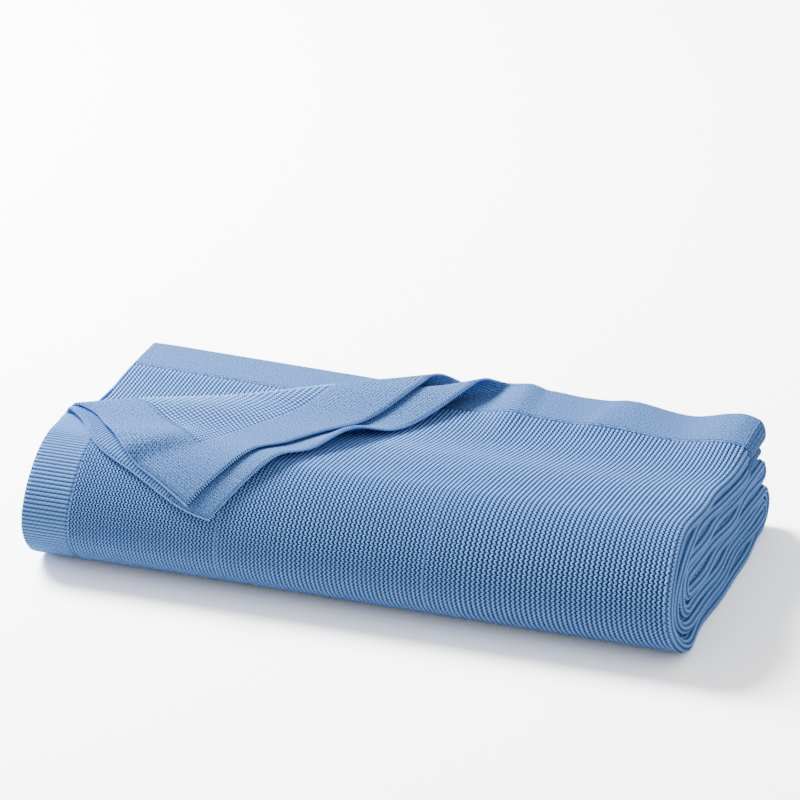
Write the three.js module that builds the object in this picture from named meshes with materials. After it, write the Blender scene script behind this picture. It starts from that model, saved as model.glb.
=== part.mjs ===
// A square cotton knit blanket, folded in quarters across its width and then three times in half
// along its length, lying flat with one corner of its two top layers turned back to the front.
// Millimetres, +Z up, +X along the front fold, standing on z = 0 with its middle over the origin.
// The blanket is one knitted cloth with its borders knitted in, so it is one closed solid.

import * as THREE from 'three';

// Driving dimensions of the cloth
const CLOTH_THICKNESS = 2.1;
const STRIP_HALF_LENGTH = 285.75;
const RIGHT_FOLD_X = 281;
const LEFT_FOLD_X = -283;

// The folded bundle: eight passes of a four-layer strip, level 0 on top and level 7 on the floor
const LAYERS_IN_STRIP = 4;
const OUTER_LAYER_LEVEL = (LAYERS_IN_STRIP - 1) / 2;
const LEVEL_ORDER = [0, 7, 4, 3, 2, 5, 6, 1];
const LOWEST_LEVEL = 7;
const FRONT_FOLD_Y = -85;
const WIDEST_FOLD_LEVELS = 7;
const WIDEST_FOLD_STRETCH = 0.17;
const BACK_Y_OF_LEVEL = [155, 150, 144, 144, 139, 139, 139, 139];
const PASS_STATIONS = [95, 35, -25];
const STRIP_THICKNESS = [
  { y: -25, value: 13.5 },
  { y: 35, value: 11.9 },
  { y: 95, value: 11.4 },
];

// How the bundle sags, leans and steps
const FRONT_LEAN = { shift: 14, fromZ: 35, overZ: 70, fromY: -20, overY: 90 };
const LEFT_BACK_RISE = { height: 8, fromX: 80, overX: 345, fromY: 35, overY: 60, fromZ: 6, overZ: 84 };
const RIGHT_END_STEP = { shift: 9, height: 100 };

// Lift of the top hem above the layer below it, along x
const HEM_LIFT = [
  { x: 0, value: 0 },
  { x: 40, value: 4 },
  { x: 75, value: 14 },
  { x: 93, value: 10 },
  { x: 127, value: 8 },
  { x: 172, value: 11 },
  { x: 220, value: 5 },
  { x: 268, value: 14 },
  { x: 290, value: 9 },
];
const HEM_LIFT_REACH = 115;
const HEM_LIFT_SHARE_POWER = 1.1;

// The turned-back corner of the two top layers, in the strip's flat measures:
// x along the strip and s from the hem towards the front
const CREASE_AT_SIDE = 204;
const ROLL_RADIUS = { atSide: 3, atHem: 9 };
const LAYER_PITCH = 2.85;
const ROLL_GAP = 3.4;
const SETTLE_LENGTH = 70;
const FLAP_CLEARANCE = 1.6;
const SLACK_LENGTH = 90;
const RIPPLE = { height: 8, atS: 250, width: 26, fromX: -150, overX: 110, settle: 40 };
const HEM_CURL = { height: 10, atX: -120, width: 34, reach: 22, settle: 60 };

// The four layers of the strip, across its thickness in layer pitches. A and B have the turned
// corner: where their crease meets the hem, and how far they slip and bow over the bundle.
const LAYERS = {
  A: {
    level: OUTER_LAYER_LEVEL,
    creaseHemX: 72,
    rollGap: 0,
    slack: { x: -3, s: -12 },
    bow: { x: 6, s: 38, length: 200 },
  },
  B: {
    level: 0.5,
    creaseHemX: 38,
    rollGap: ROLL_GAP,
    slack: { x: -31, s: 23 },
    bow: { x: 26, s: 14, length: 165 },
  },
  C: { level: -0.5 },
  D: { level: -OUTER_LAYER_LEVEL },
};

// Mesh density
const FRONT_TURN_STEPS = 9;
const BACK_TURN_STEPS = 6;
const PATH_SAMPLES = 48;
const CREASE_COLUMNS = 14;
const FAN_STEP = 5;
const CREASE_CLEARANCE = 8;
const BEND_STEPS = 6;
const FLAP_ROW_DISTANCES = [12, 26, 40, 54, 68, 82, 96, 110, 124, 138];
const HEM_COLUMNS_X = [50, 62, 80, 93, 110, 127, 150, 172, 196, 220, 245, 266];
const DIFFERENCE_STEP = 0.4;
const COORDINATE_STEP = 0.01;
const TIE = 0.001;

// Smooth step from 0 to 1
function ease(t) {
  const c = Math.min(Math.max(t, 0), 1);
  return c * c * (3 - 2 * c);
}

// Straight ramp from 0 to 1
function ramp(t) {
  return Math.min(Math.max(t, 0), 1);
}

// Value of a short table at a place, with straight or smooth steps between its rows
function lookUp(rows, key, place, step) {
  let value = rows[0].value;
  for (let i = 1; i < rows.length; i++) {
    const from = rows[i - 1];
    const to = rows[i];
    if (place > from[key]) {
      value = from.value + (to.value - from.value) * step((place - from[key]) / (to[key] - from[key]));
    }
  }
  return value;
}

function stripThickness(y) {
  return lookUp(STRIP_THICKNESS, 'y', y, ramp);
}

// Height of the strip's middle on a level, so that the lowest layer lies on z = 0
function levelHeight(level, y) {
  const t = stripThickness(y);
  return CLOTH_THICKNESS / 2 + OUTER_LAYER_LEVEL * t / LAYERS_IN_STRIP + (LOWEST_LEVEL - level) * t;
}

// The strip's middle line in the y-z plane, from the top hem to the hidden one.
// Each sample keeps its arc length, and a station is a sample where the mesh gets a row.
function buildPath() {
  const samples = [];
  const add = (y, z, isStation) => samples.push({ y, z, isStation });
  LEVEL_ORDER.forEach((level, pass) => {
    const towardsFront = pass % 2 === 0;
    const back = BACK_Y_OF_LEVEL[level];
    const stops = [back, ...PASS_STATIONS, FRONT_FOLD_Y];
    if (!towardsFront) {
      stops.reverse();
    }
    if (pass === 0) {
      add(stops[0], levelHeight(level, stops[0]), true);
    }
    for (let i = 1; i < stops.length; i++) {
      add(stops[i], levelHeight(level, stops[i]), true);
    }
    if (pass === LEVEL_ORDER.length - 1) {
      return;
    }
    const next = LEVEL_ORDER[pass + 1];
    const foldY = towardsFront ? FRONT_FOLD_Y : back;
    const top = levelHeight(level, foldY);
    const bottom = levelHeight(next, foldY);
    const halfHeight = (top - bottom) / 2;
    // The innermost fold is round, and the widest one bulges most
    const span = (Math.abs(next - level) - 1) / (WIDEST_FOLD_LEVELS - 1);
    const depth = Math.abs(halfHeight) * (1 + WIDEST_FOLD_STRETCH * span) * (towardsFront ? -1 : 1);
    const steps = towardsFront ? FRONT_TURN_STEPS : BACK_TURN_STEPS;
    const perStep = Math.round(PATH_SAMPLES / steps);
    for (let k = 1; k <= steps * perStep; k++) {
      const angle = Math.PI * k / (steps * perStep);
      const y = foldY + depth * Math.sin(angle);
      const z = (top + bottom) / 2 + halfHeight * Math.cos(angle);
      add(y, z, k % perStep === 0);
    }
  });
  let length = 0;
  samples.forEach((sample, i) => {
    if (i > 0) {
      length += Math.hypot(sample.y - samples[i - 1].y, sample.z - samples[i - 1].z);
    }
    sample.s = length;
  });
  // Direction of travel at each sample, halved between its two neighbours
  samples.forEach((sample, i) => {
    const before = samples[Math.max(i - 1, 0)];
    const after = samples[Math.min(i + 1, samples.length - 1)];
    const span = Math.hypot(after.y - before.y, after.z - before.z);
    sample.ty = (after.y - before.y) / span;
    sample.tz = (after.z - before.z) / span;
  });
  return samples;
}

const PATH = buildPath();
const STRIP_LENGTH = PATH[PATH.length - 1].s;

// Place and outward normal of the strip's middle line at arc length s, run on straight past its ends
function onPath(s) {
  const last = PATH.length - 1;
  let low = 0;
  let high = last;
  while (high - low > 1) {
    const middle = (low + high) >> 1;
    if (PATH[middle].s <= s) {
      low = middle;
    } else {
      high = middle;
    }
  }
  const a = PATH[low];
  const b = PATH[high];
  const t = (s - a.s) / (b.s - a.s);
  const k = ramp(t);
  const ty = a.ty + (b.ty - a.ty) * k;
  const tz = a.tz + (b.tz - a.tz) * k;
  const size = Math.hypot(ty, tz);
  return {
    y: a.y + (b.y - a.y) * t,
    z: a.z + (b.z - a.z) * t,
    normalY: tz / size,
    normalZ: -ty / size,
  };
}

// Height that the lifted top hem adds to a layer
function hemLift(x, s, level) {
  const share = ((level + OUTER_LAYER_LEVEL) / (2 * OUTER_LAYER_LEVEL)) ** HEM_LIFT_SHARE_POWER;
  return lookUp(HEM_LIFT, 'x', x, ease) * (1 - ease(s / HEM_LIFT_REACH)) * share;
}

// Point of the folded bundle: x along the strip, s along its path, a level in layer pitches
// across it, an extra height outwards, and the level whose share of the hem's lift it takes
function onBundle(x, s, level, extra = 0, liftLevel = level) {
  const { y, z, normalY, normalZ } = onPath(s);
  const offset = level * stripThickness(y) / LAYERS_IN_STRIP + extra;
  let py = y + normalY * offset;
  let pz = z + normalZ * offset;
  if (s < HEM_LIFT_REACH) {
    pz += hemLift(x, s, liftLevel);
  }
  const { shift, fromZ, overZ, fromY, overY } = FRONT_LEAN;
  py += shift * ease((pz - fromZ) / overZ) * ease((fromY - py) / overY);
  const rise = LEFT_BACK_RISE;
  const riseShare = ramp((rise.fromX - x) / rise.overX) * ramp((py - rise.fromY) / rise.overY);
  pz += rise.height * riseShare * ease((pz - rise.fromZ) / rise.overZ);
  const step = RIGHT_END_STEP.shift * ramp(1 - pz / RIGHT_END_STEP.height);
  const px = x + step * (x + STRIP_HALF_LENGTH) / (2 * STRIP_HALF_LENGTH);
  return new THREE.Vector3(px, py, pz);
}

// The crease of a turned layer: its end at the side edge, its direction and the way to the corner
function creaseOf(layer) {
  const side = new THREE.Vector2(-STRIP_HALF_LENGTH, CREASE_AT_SIDE);
  const hem = new THREE.Vector2(layer.creaseHemX, 0);
  const along = hem.clone().sub(side);
  const length = along.length();
  along.divideScalar(length);
  const outward = new THREE.Vector2(along.y, -along.x);
  return { side, along, outward, length };
}

LAYERS.A.crease = creaseOf(LAYERS.A);
LAYERS.B.crease = creaseOf(LAYERS.B);

// Radius of a layer's roll at a place along its crease
function rollRadius(layer, l) {
  const share = l / layer.crease.length;
  return ROLL_RADIUS.atSide + (ROLL_RADIUS.atHem - ROLL_RADIUS.atSide) * share + layer.rollGap;
}

// How far a flat place lies from a layer's crease, on the side away from the corner
function distanceFromCrease(layer, place) {
  return Math.max(-place.clone().sub(layer.crease.side).dot(layer.crease.outward), 0);
}

// Point of layer A or B: outside the crease it bends over on a roll and lies back on the bundle
function onTurnedLayer(x, s, layer) {
  const { side, along, outward } = layer.crease;
  const from = new THREE.Vector2(x, s).sub(side);
  const q = from.dot(outward);
  if (q <= 0) {
    return onBundle(x, s, layer.level);
  }
  const l = from.dot(along);
  const radius = rollRadius(layer, l);
  const flat = q - Math.PI * radius;
  const place = side.clone().addScaledVector(along, l);
  if (flat < 0) {
    const angle = q / radius;
    place.addScaledVector(outward, radius * Math.sin(angle));
    const liftLevel = layer.level + (LAYERS.A.level - layer.level) * angle / Math.PI;
    return onBundle(place.x, place.y, layer.level, radius * (1 - Math.cos(angle)), liftLevel);
  }
  const { slack, bow } = layer;
  const slackShare = ease(flat / SLACK_LENGTH);
  const bowShare = Math.sin(Math.PI * ramp(flat / bow.length));
  place.addScaledVector(outward, -flat);
  place.x += slack.x * slackShare + bow.x * bowShare;
  place.y += slack.s * slackShare + bow.s * bowShare;
  // Both layers settle by their distance from the upper layer's crease, so they stay apart
  const distance = distanceFromCrease(LAYERS.A, place);
  const isInner = layer === LAYERS.A;
  const rolled = 2 * rollRadius(layer, place.clone().sub(side).dot(along));
  const rest = isInner ? LAYER_PITCH + FLAP_CLEARANCE : 3 * LAYER_PITCH + 2 * FLAP_CLEARANCE;
  const ripple = RIPPLE.height * Math.exp(-(((place.y - RIPPLE.atS) / RIPPLE.width) ** 2))
    * ease((place.x - RIPPLE.fromX) / RIPPLE.overX) * ease(distance / RIPPLE.settle);
  const curl = HEM_CURL.height * Math.exp(-(((x - HEM_CURL.atX) / HEM_CURL.width) ** 2))
    * (1 - ease(s / HEM_CURL.reach)) * ease(flat / HEM_CURL.settle);
  const extra = rolled + (rest - rolled) * ease(distance / SETTLE_LENGTH) + ripple + (isInner ? curl : 0);
  return onBundle(place.x, place.y, layer.level, extra, LAYERS.A.level);
}

// The strip's cross-section: one run of cloth, A to D to C to B, in pieces of straight and fold.
// columns are the mesh columns of a piece in the hidden rows.
const SECTION = (() => {
  const foldLength = (radius) => Math.PI * radius * LAYER_PITCH;
  const pieces = [
    { layer: LAYERS.A, fromX: -STRIP_HALF_LENGTH, toX: RIGHT_FOLD_X, columns: 5 },
    { foldX: RIGHT_FOLD_X, side: 1, centre: 0, radius: OUTER_LAYER_LEVEL, turn: 1, columns: 3 },
    { layer: LAYERS.D, fromX: RIGHT_FOLD_X, toX: LEFT_FOLD_X, columns: 4 },
    { foldX: LEFT_FOLD_X, side: -1, centre: -1, radius: 0.5, turn: -1, columns: 2 },
    { layer: LAYERS.C, fromX: LEFT_FOLD_X, toX: RIGHT_FOLD_X, columns: 4 },
    { foldX: RIGHT_FOLD_X, side: 1, centre: 0, radius: 0.5, turn: -1, columns: 2 },
    { layer: LAYERS.B, fromX: RIGHT_FOLD_X, toX: -STRIP_HALF_LENGTH, columns: 5 },
  ];
  let u = 0;
  for (const piece of pieces) {
    piece.start = u;
    u += piece.layer ? Math.abs(piece.toX - piece.fromX) : foldLength(piece.radius);
    piece.end = u;
  }
  return pieces;
})();
const STRIP_WIDTH_FLAT = SECTION[SECTION.length - 1].end;

// Point of the cloth's middle surface at flat place u across and v along
function onCloth(u, v) {
  const piece = SECTION.find((candidate) => u <= candidate.end) ?? SECTION[SECTION.length - 1];
  const share = (u - piece.start) / (piece.end - piece.start);
  if (piece.layer) {
    const x = piece.fromX + (piece.toX - piece.fromX) * share;
    const canTurn = piece.layer === LAYERS.A || piece.layer === LAYERS.B;
    return canTurn ? onTurnedLayer(x, v, piece.layer) : onBundle(x, v, piece.layer.level);
  }
  const angle = Math.PI * share;
  const pitch = stripThickness(onPath(v).y) / LAYERS_IN_STRIP;
  const x = piece.foldX + piece.side * piece.radius * pitch * Math.sin(angle);
  return onBundle(x, v, piece.centre + piece.turn * piece.radius * Math.cos(angle));
}

// Normal of the cloth on its outer side
function clothNormal(u, v) {
  const h = DIFFERENCE_STEP;
  const alongU = onCloth(u + h, v).sub(onCloth(u - h, v));
  const alongV = onCloth(u, v + h).sub(onCloth(u, v - h));
  return alongV.cross(alongU).normalize();
}

// u of an x on a straight piece of the section
function uAt(piece, x) {
  return piece.start + (piece.end - piece.start) * (x - piece.fromX) / (piece.toX - piece.fromX);
}

// Even steps from one number to another, the first left out
function steps(from, to, count) {
  return Array.from({ length: count }, (_, i) => from + (to - from) * (i + 1) / count);
}

const [LAYER_A, OUTER_FOLD, LAYER_D, LEFT_FOLD, LAYER_C, INNER_FOLD, LAYER_B] = SECTION;

// s of a layer's crease at an x, nought past its hem end
function creaseDistance(layer, x) {
  const hemX = layer.creaseHemX;
  return Math.max(CREASE_AT_SIDE * (hemX - x) / (hemX + STRIP_HALF_LENGTH), 0);
}

// Places across a turned layer: even steps along its crease, and then the columns of its hem
function turnedColumns(piece) {
  const { layer } = piece;
  const xs = [-STRIP_HALF_LENGTH, ...steps(-STRIP_HALF_LENGTH, layer.creaseHemX, CREASE_COLUMNS)];
  xs.push(...HEM_COLUMNS_X.filter((x) => x > layer.creaseHemX + CREASE_CLEARANCE), RIGHT_FOLD_X);
  return xs.map((x) => ({ u: uAt(piece, x), crease: creaseDistance(layer, x) }));
}

// Row of flat places from edge to edge of the cloth: straight at a station, and where a turned
// corner is in its way, beside the crease and as many steps from it as its order says
function fanRow(station, order) {
  const row = turnedColumns(LAYER_A);
  for (const piece of [OUTER_FOLD, LAYER_D, LEFT_FOLD, LAYER_C, INNER_FOLD]) {
    const count = piece === LAYER_C ? HEM_COLUMNS_X.length : piece.columns;
    row.push(...steps(piece.start, piece.end, count).map((u) => ({ u, crease: 0 })));
  }
  row.push(...turnedColumns(LAYER_B).slice(0, -1).reverse());
  return row.map(({ u, crease }) => ({
    u,
    v: Math.max(station, crease > 0 ? crease + order * FAN_STEP : 0),
  }));
}

// Straight row across the whole cloth at one v
function plainRow(v) {
  const row = [{ u: 0, v }];
  for (const piece of SECTION) {
    row.push(...steps(piece.start, piece.end, piece.columns).map((u) => ({ u, v })));
  }
  return row;
}

// Rows of the turned corner of one layer, from the crease towards the corner: straight lines in the
// flat cloth, at each step round the roll and then at set distances past it, and the corner itself
function cornerRows(piece) {
  const { crease, creaseHemX } = piece.layer;
  const { along, outward, length } = crease;
  const slope = (ROLL_RADIUS.atHem - ROLL_RADIUS.atSide) / length;
  const startRadius = rollRadius(piece.layer, 0);
  const lines = steps(0, Math.PI, BEND_STEPS).map((angle) => ({ angle, past: 0 }));
  lines.push(...FLAP_ROW_DISTANCES.map((past) => ({ angle: Math.PI, past })));
  const rows = lines.map(({ angle, past }) => {
    // The line is q = gain * l + base, met with the side edge and with the hem
    const gain = angle * slope;
    const base = angle * startRadius + past;
    const sideS = CREASE_AT_SIDE + base / (outward.y - gain * along.y);
    const hemX = creaseHemX + (gain * length + base) / (outward.x - gain * along.x);
    const share = (hemX + STRIP_HALF_LENGTH) / (creaseHemX + STRIP_HALF_LENGTH);
    const count = Math.max(Math.round(CREASE_COLUMNS * share), 2);
    return [0, ...steps(0, 1, count)].map((t) => ({
      u: uAt(piece, -STRIP_HALF_LENGTH + (hemX + STRIP_HALF_LENGTH) * t),
      v: sideS * (1 - t),
    }));
  });
  rows.push([{ u: uAt(piece, -STRIP_HALF_LENGTH), v: 0 }]);
  return rows;
}

// A triangulated sheet of flat places, built row by row
class Sheet {
  constructor() {
    this.places = [];
    this.triangles = [];
    this.byShare = false;
  }

  addRow(row) {
    const start = this.places.length;
    this.places.push(...row);
    return row.map((_, i) => start + i);
  }

  // Triangles between two rows, each running the same way, the second on the side of greater v
  stitch(upper, lower) {
    const reach = (ids, i) => this.progress(ids, i) + this.progress(ids, i + 1);
    const last = (ids) => ids.length - 1;
    let i = 0;
    let j = 0;
    while (i < last(upper) || j < last(lower)) {
      const nextUpper = i < last(upper) ? reach(upper, i) : Infinity;
      const nextLower = j < last(lower) ? reach(lower, j) : Infinity;
      const isTie = Math.abs(nextUpper - nextLower) < TIE;
      if (isTie ? this.leansBack(upper[i]) : nextUpper < nextLower) {
        this.triangles.push([upper[i], lower[j], upper[i + 1]]);
        i++;
      } else {
        this.triangles.push([upper[i], lower[j], lower[j + 1]]);
        j++;
      }
    }
  }

  // Which diagonal a square takes, so that the diagonals of layers that lie together are parallel
  leansBack(id) {
    const { u, v } = this.places[id];
    const piece = SECTION.find((candidate) => u < candidate.end) ?? LAYER_B;
    const runsLeft = piece === LAYER_D || piece === LAYER_B;
    const here = onPath(v);
    const ahead = onPath(v + 1);
    const dy = ahead.y - here.y;
    const dz = ahead.z - here.z;
    const runsForward = Math.abs(dy) > Math.abs(dz) ? dy < 0 : dz < 0;
    return runsLeft === runsForward;
  }

  // How far along its row a place is: its own u, or its share of a row of the turned corner
  progress(ids, i) {
    return this.byShare && ids.length > 1 ? i / (ids.length - 1) : this.places[ids[i]].u;
  }

  // Closed solid of the sheet with half the thickness on each side and a rim round the edge
  thicken(thickness) {
    const count = this.places.length;
    const outer = [];
    const inner = [];
    for (const { u, v } of this.places) {
      const middle = onCloth(u, v);
      const half = clothNormal(u, v).multiplyScalar(thickness / 2);
      outer.push(middle.clone().add(half));
      inner.push(middle.clone().sub(half));
    }
    const index = [];
    const directed = new Set();
    for (const [a, b, c] of this.triangles) {
      index.push(a, b, c, a + count, c + count, b + count);
      directed.add(`${a},${b}`).add(`${b},${c}`).add(`${c},${a}`);
    }
    for (const edge of directed) {
      const [a, b] = edge.split(',').map(Number);
      if (!directed.has(`${b},${a}`)) {
        index.push(b, a, a + count, b, a + count, b + count);
      }
    }
    const geometry = new THREE.BufferGeometry();
    geometry.setFromPoints([...outer, ...inner]);
    geometry.setIndex(index);
    return geometry;
  }
}

// The whole flat cloth as rows: the fan between crease and first fold, the rest, and the two corners
function buildSheet() {
  const sheet = new Sheet();
  const stations = PATH.filter((sample) => sample.isStation).map((sample) => sample.s);
  const firstRow = stations[PASS_STATIONS.length + 1];
  const fanStations = stations.filter((s) => s <= firstRow);
  const fan = fanStations.map((s, order) => sheet.addRow(fanRow(s, order)));
  for (let i = 1; i < fan.length; i++) {
    sheet.stitch(fan[i - 1], fan[i]);
  }
  let above = fan[fan.length - 1];
  for (const v of stations.filter((s) => s > firstRow)) {
    const row = sheet.addRow(plainRow(v));
    sheet.stitch(above, row);
    above = row;
  }
  sheet.byShare = true;
  for (const piece of [LAYER_A, LAYER_B]) {
    const ids = fan[0];
    const creaseIds = piece === LAYER_A
      ? ids.slice(0, CREASE_COLUMNS + 1)
      : ids.slice(-CREASE_COLUMNS - 1).reverse();
    let nearer = creaseIds;
    for (const row of cornerRows(piece)) {
      const further = sheet.addRow(row);
      if (piece === LAYER_A) {
        sheet.stitch(further, nearer);
      } else {
        sheet.stitch([...further].reverse(), [...nearer].reverse());
      }
      nearer = further;
    }
  }
  return sheet;
}

// Puts each vertex on the nearest coordinate step, so that the flat underside is exactly flat
function roundVertices(geometry) {
  const positions = geometry.getAttribute('position').array;
  positions.forEach((value, i) => {
    positions[i] = Math.round(value / COORDINATE_STEP) * COORDINATE_STEP;
  });
}

// The folded blanket, moved so that its middle stands over the origin
function knitBlanket() {
  const geometry = buildSheet().thicken(CLOTH_THICKNESS);
  geometry.computeBoundingBox();
  const middle = geometry.boundingBox.getCenter(new THREE.Vector3());
  geometry.translate(-middle.x, -middle.y, -geometry.boundingBox.min.z);
  roundVertices(geometry);
  geometry.computeVertexNormals();
  const material = new THREE.MeshStandardMaterial({ color: 0x7fa6dc, roughness: 0.95, metalness: 0 });
  const mesh = new THREE.Mesh(geometry, material);
  mesh.name = 'knit_blanket';
  return mesh;
}

const group = new THREE.Group();
group.add(knitBlanket());
export default group;
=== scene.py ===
"""A folded cotton knit blanket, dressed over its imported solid.

One square cloth is folded in quarters across its width and three times in half along its
length, and one corner of its two top layers lies turned back to the front. Every panel below
is a rectangle of that flat cloth, laid on the same folds as the solid. Lengths are in
millimetres until a mesh is made, which is in metres.
"""

import logging
import math
from dataclasses import dataclass, field
from enum import Enum
from functools import cached_property
from typing import Callable, Optional, Sequence

import bpy
import numpy as np
from mathutils import Matrix, Vector

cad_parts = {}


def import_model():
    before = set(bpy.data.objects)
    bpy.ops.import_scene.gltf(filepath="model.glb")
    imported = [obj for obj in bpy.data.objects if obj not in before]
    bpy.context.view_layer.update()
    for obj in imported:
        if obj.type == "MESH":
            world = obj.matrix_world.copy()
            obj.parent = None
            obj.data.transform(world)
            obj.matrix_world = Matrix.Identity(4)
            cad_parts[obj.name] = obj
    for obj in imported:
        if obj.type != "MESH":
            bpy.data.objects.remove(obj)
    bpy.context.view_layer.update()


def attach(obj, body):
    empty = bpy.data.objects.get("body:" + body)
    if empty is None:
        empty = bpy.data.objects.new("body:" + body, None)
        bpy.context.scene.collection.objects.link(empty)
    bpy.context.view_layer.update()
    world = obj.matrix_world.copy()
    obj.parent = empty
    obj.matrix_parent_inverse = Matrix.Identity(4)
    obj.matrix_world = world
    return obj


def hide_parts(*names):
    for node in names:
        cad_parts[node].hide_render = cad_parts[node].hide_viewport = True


LOG = logging.getLogger("knit_blanket")

CAD_NODE = "knit_blanket"
BODY = "root"
METRES = 0.001
# Places in millimetres, and counts of stitches, that differ by less than these are the same
SAME_PLACE = 1e-6
SAME_COUNT = 1e-4

Array = np.ndarray
Table = Sequence[tuple[float, float]]


def ease(t: Array) -> Array:
    """Smooth step from 0 to 1."""
    c = np.clip(t, 0.0, 1.0)
    return c * c * (3.0 - 2.0 * c)


def ramp(t: Array) -> Array:
    """Straight ramp from 0 to 1."""
    return np.clip(t, 0.0, 1.0)


def stairs(t: Array) -> Array:
    """Stays at 0 and jumps to 1 at the end."""
    return np.floor(np.clip(t, 0.0, 1.0))


def look_up(rows: Table, place: Array, step: Callable[[Array], Array]) -> Array:
    """Values of a short table.

    Args:
        rows: pairs of place and value, in order of place.
        place: where the values are wanted.
        step: the way from one row's value to the next.

    Returns:
        One value for each place.
    """
    place = np.asarray(place, float)
    value = np.full(place.shape, float(rows[0][1]))
    for (x0, y0), (x1, y1) in zip(rows[:-1], rows[1:]):
        value = np.where(place > x0, y0 + (y1 - y0) * step((place - x0) / (x1 - x0)), value)
    return value


@dataclass(frozen=True)
class Span:
    """A stretch over which a share goes from 0 to 1, downwards where its length is negative."""

    start: float
    length: float

    def share(self, place: Array, step: Callable[[Array], Array] = ease) -> Array:
        """The share reached at a place."""
        return step((place - self.start) / self.length)


class Layer(Enum):
    """The four layers of the folded strip, by their level across its thickness in pitches."""

    A = 1.5
    B = 0.5
    C = -0.5
    D = -1.5


@dataclass(frozen=True)
class Bump:
    """A soft rise of the cloth: its height, middle and width."""

    height: float
    middle: float
    width: float

    def rise(self, place: Array) -> Array:
        """How far the cloth rises at a place."""
        return self.height * np.exp(-(((place - self.middle) / self.width) ** 2))


@dataclass(frozen=True)
class Ridge:
    """A ridge in the cloth on the line from one flat place (x, s) towards another.

    Its two sides are as wide as gentle and steep, and it dies out over fade, which counts
    from its start.
    """

    start: tuple[float, float]
    end: tuple[float, float]
    height: float
    gentle: float
    steep: float
    fade: Span

    def rise(self, x: Array, s: Array) -> Array:
        """How far the cloth rises at flat places."""
        along = np.subtract(self.end, self.start)
        along = along / np.hypot(*along)
        dx, ds = x - self.start[0], s - self.start[1]
        off = dx * -along[1] + ds * along[0]
        width = np.where(off > 0, self.gentle, self.steep)
        held = 1 - self.fade.share(dx * along[0] + ds * along[1])
        return self.height * np.exp(-((off / width) ** 2)) * held


@dataclass(frozen=True)
class Wave:
    """A regular wave along the cloth: its reach, length and phase."""

    reach: float
    length: float
    phase: float


@dataclass(frozen=True)
class TurnedCorner:
    """How the corner of one top layer lies once it is turned back.

    The crease runs from the side edge to crease_hem_x on the hem, round a roll that is wider
    by roll_gap. slack and bow slide the turned part along the bundle, as (x, s) with s from
    the hem towards the front, and the bow is bow_length long. sag is how far the side edge
    has slipped over the left shoulder of the bundle, and where.
    """

    crease_hem_x: float
    roll_gap: float
    slack: tuple[float, float]
    bow: tuple[float, float]
    bow_length: float
    sag: Bump


class Crease:
    """The line on the flat cloth that a corner is turned over."""

    def __init__(self, side: tuple[float, float], hem: tuple[float, float]) -> None:
        """Takes the ends (x, s) on the side edge and on the hem."""
        self.side = np.array(side)
        along = np.array(hem) - self.side
        self.length = float(np.hypot(*along))
        self.along = along / self.length
        self.outward = np.array([self.along[1], -self.along[0]])

    def past(self, x: Array, s: Array) -> Array:
        """How far flat places lie past the crease, towards the corner."""
        return (x - self.side[0]) * self.outward[0] + (s - self.side[1]) * self.outward[1]

    def run(self, x: Array, s: Array) -> Array:
        """How far flat places lie along the crease from the side edge."""
        return (x - self.side[0]) * self.along[0] + (s - self.side[1]) * self.along[1]

    def place(self, run: Array, past: Array) -> tuple[Array, Array]:
        """Flat places (x, s) from how far along and past the crease they lie."""
        x = self.side[0] + self.along[0] * run + self.outward[0] * past
        s = self.side[1] + self.along[1] * run + self.outward[1] * past
        return x, s


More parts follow.
